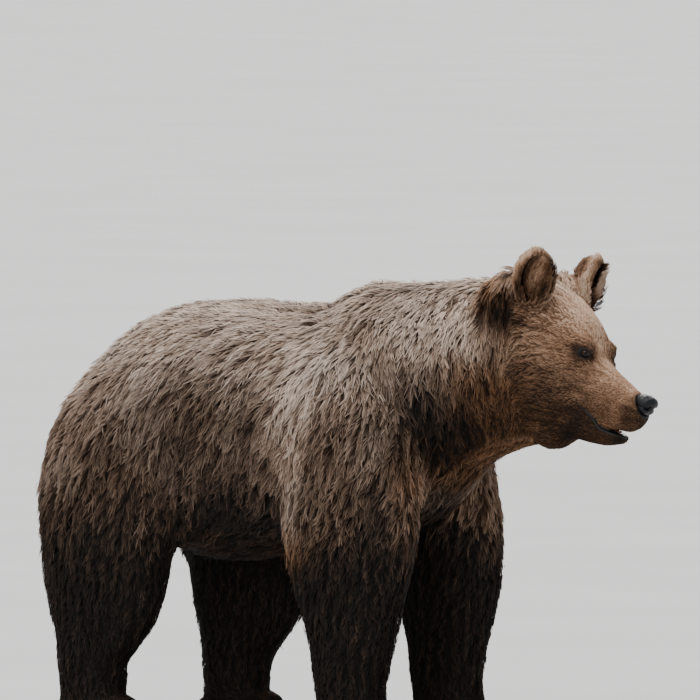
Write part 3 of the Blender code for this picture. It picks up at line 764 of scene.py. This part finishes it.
def tuft_shapes(roots, normals, lie, length, rise, width, shag):
    """The corners and normals of each tuft, and how high in its lock it lies."""
    count = len(roots)
    along, across, locks = tuft_directions(roots, normals, lie, shag)
    # those on top of a lock stand higher, and so do a few anywhere
    rise = rise * rng.uniform(0.55, 1.05, count) * (1 + 0.38 * shag * np.clip(locks, -1.6, 1.6))
    rise = rise * np.where(rng.random(count) < 0.06, 1.35, 1.0)
    reach = np.sqrt(np.maximum(length**2 - rise**2, (0.5 * length) ** 2))
    bend = roots + along * (reach * BEND)[:, None] + normals * (rise * 0.78)[:, None]
    bend = bend + across * (0.05 * length * rng.normal(size=count))[:, None]
    tip = roots + along * reach[:, None] + normals * rise[:, None]
    way = way_to_clump(tip, length)
    bend, tip = bend + 0.22 * way, tip + 0.66 * way
    deep, wide = normals * (width * 0.36)[:, None], across * (width * 0.5)[:, None]
    sunk = roots - normals * (0.0008 + 0.10 * rise)[:, None]
    shapes = np.stack((sunk, bend - wide, bend + wide, bend + deep, tip), axis=1)
    shapes[:, :, 2] = np.maximum(shapes[:, :, 2], 0.0004)  # none reaches into the floor
    lean, spin = along * 0.30, across * 0.75
    ups = (normals - lean, normals - spin, normals + spin, normals, normals + lean)
    return shapes, unit(np.stack(ups, axis=1)), locks * shag


def tuft_mesh(name, shapes, ups, attributes, unwrapped):
    """One mesh of many tufts, with its attributes and its OFBake map."""
    count, size = shapes.shape[:2]
    faces = (TUFT_FACES[None] + size * np.arange(count)[:, None, None]).reshape(-1, 3)
    mesh = bpy.data.meshes.new(name)
    mesh.vertices.add(count * size)
    mesh.vertices.foreach_set("co", shapes.astype(np.float32).ravel())
    mesh.loops.add(faces.size)
    mesh.loops.foreach_set("vertex_index", faces.astype(np.int32).ravel())
    mesh.polygons.add(len(faces))
    mesh.polygons.foreach_set("loop_start", np.arange(0, faces.size, 3, dtype=np.int32))
    shade_smooth(mesh)
    mesh.update(calc_edges=True)
    for key, values in attributes.items():
        attach_values(mesh, key, np.repeat(values, size))
    attach_values(mesh, "along", np.tile(TUFT_ALONG, count))
    attach_values(mesh, "across", np.tile(TUFT_ACROSS, count))
    local = np.stack((TUFT_ACROSS - 0.5, TUFT_ALONG - 0.5), axis=1) * PATCH
    spots = unwrapped[:, None, :] * (1 - PATCH) + PATCH / 2 + local[None]
    layer = mesh.uv_layers.new(name="OFBake")
    layer.data.foreach_set("uv", spots.reshape(-1, 2)[faces.ravel()].astype(np.float32).ravel())
    mesh.normals_split_custom_set_from_vertices(ups.reshape(-1, 3).astype(np.float32))
    return mesh


def unwrap(points, piece):
    """Turn round the part's own axis, and place along it, each scaled to fill the map."""
    if piece.endswith("leg"):
        centre = points.mean(axis=0)
        angle = np.arctan2(points[:, 1] - centre[1], points[:, 0] - centre[0])
        along = points[:, 2]
    elif piece == "ears":
        _, left, along = in_head(points)
        angle = np.zeros(len(points))
        for name in SIDES:
            ahead, across, _ = in_ear(points, name)
            beside = SIDES[name] * 3.2  # so that the two ears lie side by side in the map
            mine = left * SIDES[name] > 0
            angle[mine] = np.arctan2(across, ahead)[mine] + beside
    elif piece.startswith("head"):
        behind, left, above = in_head(points)
        angle, along = np.arctan2(left, above + 0.02), behind
    else:
        angle, along = np.arctan2(points[:, 1], points[:, 2] - AXIS_HEIGHT), points[:, 0]
    spots = np.stack((angle, along), axis=1)
    low, high = spots.min(axis=0), spots.max(axis=0)
    return (spots - low) / (high - low)


def piece_of(node, place):
    """The name of the coat piece that a tuft belongs to."""
    if node.startswith("ear"):
        return "ears"
    if node in ("head", "lower_jaw"):
        return "head"
    if node == "neck":
        return "neck"
    if node in ("trunk", "tail"):
        end = "rear" if place[0] < TRUNK_MIDDLE[0] else "front"
        return f"trunk_{end}_{'left' if place[1] > 0 else 'right'}"
    return "_".join(node.split("_")[:2]) + "_leg"


def face_coat(places):
    """Length and spacing of the coat on the face, where it grows longer and sparser backwards."""
    behind, _, above = in_head(places)
    length = np.interp(behind, FACE_STOPS, FACE_LENGTHS) * (1 - 0.40 * ramp(above, 0.02, 0.09))
    return length, np.interp(behind, FACE_STOPS, FACE_SPACINGS)


def coat_fields(places, normals, fields, bare):
    """Length, rise and spacing of the tufts over the skin, finished near the face and ears."""
    head, ear = fields["head"], fields["ear"]
    face = head * (1 - ear)
    face_length, face_spacing = face_coat(places)
    length = fields["length"] * (1 - face) + face_length * face
    spacing = fields["spacing"] * (1 - face) + face_spacing * face
    throat = ramp(fields["lie"][:, 2], -0.2, -0.6) * (1 - head) * ramp(places[:, 0], *THROAT)
    length = length * (1 + 0.20 * throat) * (1 + 0.10 * waves(places, 0.10, 21))
    rise = np.maximum(fields["depth"] * (1 + 0.9 * ear) * (1 - 0.35 * face), 0.10 * length)
    for name in SIDES:
        # short and flat on the back of an ear's rim, long and standing in its cup
        cup, across, up = ear_cup(places, name)
        mine = ear * (from_ear(places, name) < EAR_REACH)
        facing = normals @ ear_axes(name)[0]
        back = mine * ramp(facing, 0.3, -0.2) * ramp(np.hypot(across / EAR_NARROW, up), 0.55, 0.85)
        inside = mine * cup * ramp(facing, -0.1, 0.4)
        length = length * (1 - 0.50 * back) * (1 + 0.60 * inside)
        rise = rise * (1 - 0.40 * back) * (1 - inside) + CUP_RISE * inside
    return length, rise, spacing * (1 + 6 * bare)


def make_coat(mesh, nodes, fields, bare, tone, warm, material):
    """Roots the tufts in the skin and joins them into pieces, one or more for each region."""
    places, normals = vertex_arrays(mesh)
    tris = triangles_of(mesh)
    length, rise, spacing = coat_fields(places, normals, fields, bare)
    chosen, weights = sample_roots(tris, places, spacing)

    def at(values):
        """Values at the vertices, read at the roots."""
        values = values.reshape(len(values), -1)
        mixed = (values[tris[chosen]] * weights[:, :, None]).sum(axis=1)
        return mixed if mixed.shape[1] > 1 else mixed[:, 0]

    keep = at(bare) < 0.5
    chosen, weights = chosen[keep], weights[keep]
    roots, ups = at(places), unit(at(normals))
    lengths = at(length) * rng.uniform(0.70, 1.20, len(roots))
    widths = at(spacing) * rng.uniform(0.60, 0.95, len(roots))
    lie, shag = at(fields["lie"]), at(fields["shag"])
    shapes, ups, locks = tuft_shapes(roots, ups, lie, lengths, at(rise), widths, shag)
    looks = {
        # painted light and shade: tufts high in their lock are paler and those low in it darker
        "tone": at(tone) + 0.125 * np.clip(locks, -1.5, 1.5),
        "warm": at(warm),
        "chance": rng.random(len(roots)),
    }
    names = np.array([piece_of(n, p) for n, p in zip(nodes[tris[chosen, 0]], roots)])
    pieces = []
    for name in sorted(set(names)):
        mine = np.flatnonzero(names == name)
        for part, some in enumerate(np.array_split(mine, -(-len(mine) // PIECE_TUFTS))):
            label = f"coat_{name}" + (f"_{part + 1}" if len(mine) > PIECE_TUFTS else "")
            own = {key: values[some] for key, values in looks.items()}
            made = tuft_mesh(label, shapes[some], ups[some], own, unwrap(roots[some], name))
            pieces.append(add_object(label, made, material))
    return pieces


# ---- materials ----
class Nodes:
    """Builds a node material: every call adds a node and gives its output back."""

    def __init__(self, name):
        self.material = bpy.data.materials.new(name)
        self.material.use_nodes = True
        self.tree = self.material.node_tree
        self.shader = self.tree.nodes["Principled BSDF"]

    def node(self, kind, inputs=(), **settings):
        made = self.tree.nodes.new(kind)
        for key, value in settings.items():
            setattr(made, key, value)
        for key, value in dict(inputs).items():
            self.join(value, made.inputs[key])
        return made

    def join(self, value, socket):
        if isinstance(value, bpy.types.NodeSocket):
            self.tree.links.new(value, socket)
        else:
            socket.default_value = value

    def attribute(self, name):
        return self.node("ShaderNodeAttribute", attribute_name=name).outputs["Fac"]

    def math(self, operation, a, b=0.0, c=0.0):
        return self.node("ShaderNodeMath", {0: a, 1: b, 2: c}, operation=operation).outputs[0]

    def vector(self, operation, *vectors):
        return self.node("ShaderNodeVectorMath", dict(enumerate(vectors)), operation=operation)

    def shifted(self, value, by, scale, offset):
        """The value with another added to it, scaled and offset."""
        return self.math("ADD", value, self.math("MULTIPLY_ADD", by, scale, offset))

    def position(self):
        return self.node("ShaderNodeNewGeometry").outputs["Position"]

    def noise(self, scale, detail, place):
        inputs = {"Scale": scale, "Detail": detail, "Vector": place}
        return self.node("ShaderNodeTexNoise", inputs).outputs["Fac"]

    def cells(self, scale):
        """How far each place is from the middle of the small cell that it lies in."""
        inputs = {"Scale": scale, "Vector": self.position()}
        return self.node("ShaderNodeTexVoronoi", inputs).outputs["Distance"]

    def blend(self, share, a, b):
        made = self.node("ShaderNodeMix", data_type="RGBA")
        for socket, value in ((made.inputs[0], share), (made.inputs[6], a), (made.inputs[7], b)):
            self.join(value, socket)
        return made.outputs[2]

    def colours(self, value, stops):
        made = self.node("ShaderNodeValToRGB", {"Fac": value})
        band = made.color_ramp
        while len(band.elements) < len(stops):
            band.elements.new(0.5)
        for element, (place, colour) in zip(band.elements, stops):
            element.position, element.color = place, (*colour, 1.0)
        return made.outputs["Color"]

    def bump(self, height, distance, strength):
        inputs = {"Height": height, "Distance": distance, "Strength": strength}
        self.join(self.node("ShaderNodeBump", inputs).outputs["Normal"], self.shader.inputs["Normal"])

    def finish(self, **sockets):
        for key, value in sockets.items():
            self.join(value, self.shader.inputs[key.replace("_", " ")])
        return self.material


GREY_BROWN = [
    (0.00, (0.0034, 0.0025, 0.0019)), (0.25, (0.023, 0.0155, 0.0115)),
    (0.50, (0.105, 0.074, 0.056)), (0.75, (0.270, 0.212, 0.172)), (1.00, (0.52, 0.44, 0.38)),
]
CINNAMON = [
    (0.00, (0.0048, 0.0025, 0.0013)), (0.25, (0.037, 0.0155, 0.0055)),
    (0.50, (0.140, 0.068, 0.032)), (0.75, (0.350, 0.190, 0.105)), (1.00, (0.64, 0.43, 0.29)),
]


def fur_colour(m, shade):
    """The colours of the marks, with painted light and shade in them: shade picks how dark, and the warm
    attribute which of two scales.
    """
    return m.blend(m.attribute("warm"), m.colours(shade, GREY_BROWN), m.colours(shade, CINNAMON))


def coat_material():
    """Each tuft has a tone of its own and fine strands, and is darker at its root."""
    m = Nodes("coat")
    along, chance = m.attribute("along"), m.attribute("chance")
    across, apart = m.math("MULTIPLY", m.attribute("across"), 3.0), m.math("MULTIPLY", chance, 97.0)
    place = m.node("ShaderNodeCombineXYZ", {"X": across, "Y": along, "Z": apart}).outputs[0]
    strands = m.noise(2.0, 2.0, place)
    shade = m.shifted(m.attribute("tone"), chance, 0.30, -0.15)
    shade = m.shifted(shade, strands, 0.30, -0.15)
    shade = m.shifted(shade, along, 0.36, -0.21)
    return m.finish(Base_Color=fur_colour(m, shade), Roughness=0.68, Specular_IOR_Level=0.14)


def skin_material():
    """The colours of the marks, with painted light and shade in them, a little darker, and creased
    grey-black leather where it is bare.
    """
    m = Nodes("skin")
    fine = m.noise(420.0, 4.0, m.position())
    shade = m.shifted(m.attribute("tone"), fine, 0.30, -0.29)
    bare = m.attribute("bare")
    creases = m.cells(700.0)
    colour = m.blend(bare, fur_colour(m, shade), (0.0074, 0.0058, 0.0052, 1.0))
    rough = m.math("MULTIPLY_ADD", bare, -0.32, 0.80)
    height = m.math("ADD", m.math("MULTIPLY", fine, 0.7), m.math("MULTIPLY", creases, 0.3))
    m.bump(height, 0.0009, 0.6)
    return m.finish(Base_Color=colour, Roughness=rough, Specular_IOR_Level=0.22)


def nose_material():
    m = Nodes("nose_leather")
    pebbles = m.cells(560.0)
    damp = m.noise(90.0, 3.0, m.position())
    m.bump(pebbles, 0.0006, 0.8)
    colour = m.colours(damp, [(0.3, (0.004, 0.004, 0.005)), (0.7, (0.009, 0.0095, 0.012))])
    rough = m.math("MULTIPLY_ADD", damp, 0.25, 0.30)
    return m.finish(Base_Color=colour, Roughness=rough, Specular_IOR_Level=0.24)


def claw_material():
    m = Nodes("horn")
    grain = m.noise(260.0, 4.0, m.position())
    colour = m.colours(grain, [(0.25, (0.022, 0.016, 0.012)), (0.75, (0.14, 0.105, 0.075))])
    m.bump(grain, 0.0004, 0.5)
    return m.finish(Base_Color=colour, Roughness=0.38)


def tongue_material():
    m = Nodes("tongue")
    grain = m.noise(900.0, 2.0, m.position())
    colour = m.colours(grain, [(0.3, (0.13, 0.036, 0.022)), (0.7, (0.27, 0.095, 0.060))])
    m.bump(grain, 0.0005, 0.6)
    return m.finish(Base_Color=colour, Roughness=0.35)


def eye_material(name):
    """A dark brown iris round a black pupil, told apart by the angle from where the eye looks."""
    m = Nodes(f"eye_{name}")
    gaze, _, _ = eye_axes(name)
    away = m.vector("SUBTRACT", m.position(), tuple(EYES[name])).outputs[0]
    away = m.vector("NORMALIZE", away).outputs[0]
    facing = m.vector("DOT_PRODUCT", away, tuple(gaze)).outputs["Value"]
    rays = m.noise(700.0, 3.0, m.position())
    back, outside, rim = (0.006, 0.004, 0.003), (0.007, 0.004, 0.003), (0.022, 0.010, 0.005)
    iris, pupil = (0.018, 0.008, 0.004), (0.0015, 0.0015, 0.0015)
    stops = [(0.0, back), (0.70, outside), (0.82, rim), (0.93, iris), (0.955, pupil)]
    colour = m.colours(m.shifted(facing, rays, 0.03, -0.015), stops)
    return m.finish(Base_Color=colour, Roughness=0.08, Specular_IOR_Level=0.22)


def floor_material():
    m = Nodes("floor")
    cloudy = m.noise(1.2, 3.0, m.position())
    colour = m.colours(cloudy, [(0.3, (0.60, 0.60, 0.59)), (0.7, (0.64, 0.64, 0.63))])
    return m.finish(Base_Color=colour, Roughness=0.9)


# ---- the head's separate pieces ----
def make_eye(name):
    """A ball that bulges at the cornea."""
    gaze, _, _ = eye_axes(name)
    turn = Vector(gaze).to_track_quat("Z", "Y")
    mesh = bpy.data.meshes.new(f"eyeball_{name}")
    with reshaped(mesh) as shape:
        bmesh.ops.create_uvsphere(shape, u_segments=48, v_segments=32, radius=EYE_RADIUS * 0.98)
        for vert in shape.verts:
            bulge = max(0.0, vert.co.normalized().z - 0.80) * 0.10
            vert.co = turn @ (vert.co * (1 + bulge)) + Vector(EYES[name])
    shade_smooth(mesh)
    piece = add_object(f"eyeball_{name}", mesh, eye_material(name))
    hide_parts(f"eye_{name}")
    return piece


def nostrils(places):
    """How deep the nose is dented: nostrils that trail back as slits, and a groove between them."""
    centre = (places.min(axis=0) + places.max(axis=0)) / 2
    ahead, left, up = ((places - centre) @ axis for axis in (HEAD_AHEAD, HEAD_LEFT, HEAD_UP))
    aside = np.abs(left)
    holes = hill(np.hypot(aside - 0.0105, up + 0.003), 0.0050) * ramp(ahead, 0.002, 0.010)
    slits = hill(up + 0.0045, 0.0026) * ramp(aside, 0.010, 0.016) * ramp(ahead, -0.012, -0.004)
    groove = hill(left, 0.0014) * ramp(up, 0.004, -0.004) * ramp(ahead, 0.0, 0.006)
    return 0.0065 * holes + 0.0036 * slits + 0.0012 * groove


def make_nose():
    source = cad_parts["nose"].data.copy()
    with reshaped(source) as shape:
        bmesh.ops.remove_doubles(shape, verts=shape.verts, dist=WELD)
    mesh = modified(source, "REMESH", mode="VOXEL", voxel_size=NOSE_VOXEL)
    places, _ = vertex_arrays(mesh)
    set_places(mesh, spread(places, edge_array(mesh), 14))
    places, normals = vertex_arrays(mesh)
    swelling = 0.0010  # makes up for what the smoothing took off
    set_places(mesh, places - normals * (nostrils(places) - swelling)[:, None])
    shade_smooth(mesh)
    piece = add_object("nose_pad", mesh, nose_material())
    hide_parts("nose")
    return piece


def finish_node(obj, material):
    """Gives a carried-over solid its material and rounds its flat faces."""
    obj.data.materials.clear()
    obj.data.materials.append(material)
    weld = obj.modifiers.new("weld", "WELD")
    weld.merge_threshold = 2e-5
    smooth = obj.modifiers.new("round", "SUBSURF")
    smooth.levels = smooth.render_levels = 2


# ---- studio ----
def add_sun(name, towards, strength, angle, colour):
    light = bpy.data.lights.new(name, "SUN")
    light.energy, light.angle, light.color = strength, math.radians(angle), colour
    obj = place_in_scene(name, light)
    obj.rotation_euler = Vector(towards).to_track_quat("-Z", "Y").to_euler()


def make_camera():
    """Looks from the photograph's side and height through a long lens."""
    azimuth, elevation = math.radians(CAMERA_AZIMUTH), math.radians(CAMERA_ELEVATION)
    right = Vector((math.cos(azimuth), math.sin(azimuth), 0))
    away = Vector((math.sin(azimuth), -math.cos(azimuth), 0)) * math.cos(elevation)
    away.z = math.sin(elevation)
    aside = right.dot(Vector((CAD_BOX[1][0], NOSE[1], 0))) - CAMERA_BACK
    aim = right * aside + Vector((0, 0, CAD_BOX[1][2] - CAMERA_DOWN))
    camera = bpy.data.cameras.new("camera")
    camera.sensor_width, camera.clip_end = 36.0, 200.0
    camera.lens = camera.sensor_width * CAMERA_DISTANCE / VIEW_WIDTH
    obj = place_in_scene("camera", camera)
    obj.location = aim + away * CAMERA_DISTANCE
    obj.rotation_euler = away.to_track_quat("Z", "Y").to_euler()
    bpy.context.scene.camera = obj


def make_studio():
    mesh = bpy.data.meshes.new("floor")
    with reshaped(mesh) as shape:
        bmesh.ops.create_grid(shape, x_segments=1, y_segments=1, size=150.0)
    add_object("floor", mesh, floor_material())
    world = bpy.data.worlds.new("studio")
    bpy.context.scene.world = world
    world.use_nodes = True
    sky = world.node_tree.nodes["Background"].inputs
    sky["Color"].default_value, sky["Strength"].default_value = (0.88, 0.93, 1.0, 1.0), 0.55
    add_sun("overhead", (0.25, 0.05, -1.0), 3.4, 40.0, (1.0, 0.975, 0.95))
    add_sun("side", (-0.35, 0.85, -0.55), 1.3, 30.0, (1.0, 0.98, 0.95))
    add_sun("rim", (0.5, -0.8, -0.5), 1.0, 20.0, (1.0, 0.98, 0.96))


# ---- putting it together ----
def main():
    mesh, nodes, fields = make_skin()
    places, normals = vertex_arrays(mesh)
    tone, warm = markings_and_painted_light(places, normals, fields)
    bare = bare_skin(places, fields)
    for key, values in (("tone", tone), ("warm", warm), ("bare", bare)):
        attach_values(mesh, key, values)
    shade_smooth(mesh)
    skin = add_object("skin", mesh, skin_material())
    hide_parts(*FLESH)
    coat = make_coat(mesh, nodes, fields, bare, tone, warm, coat_material())
    eyes = [make_eye(name) for name in SIDES]
    slots = {"coat": [skin, *coat], "bare_skin": [make_nose()], "eye": eyes}
    for slot, pieces in slots.items():
        for piece in pieces:
            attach(piece, "root")
    horn = claw_material()
    for name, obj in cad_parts.items():
        if "claw" in name:
            finish_node(obj, horn)
    finish_node(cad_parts["tongue"], tongue_material())
    make_studio()
    make_camera()


main()
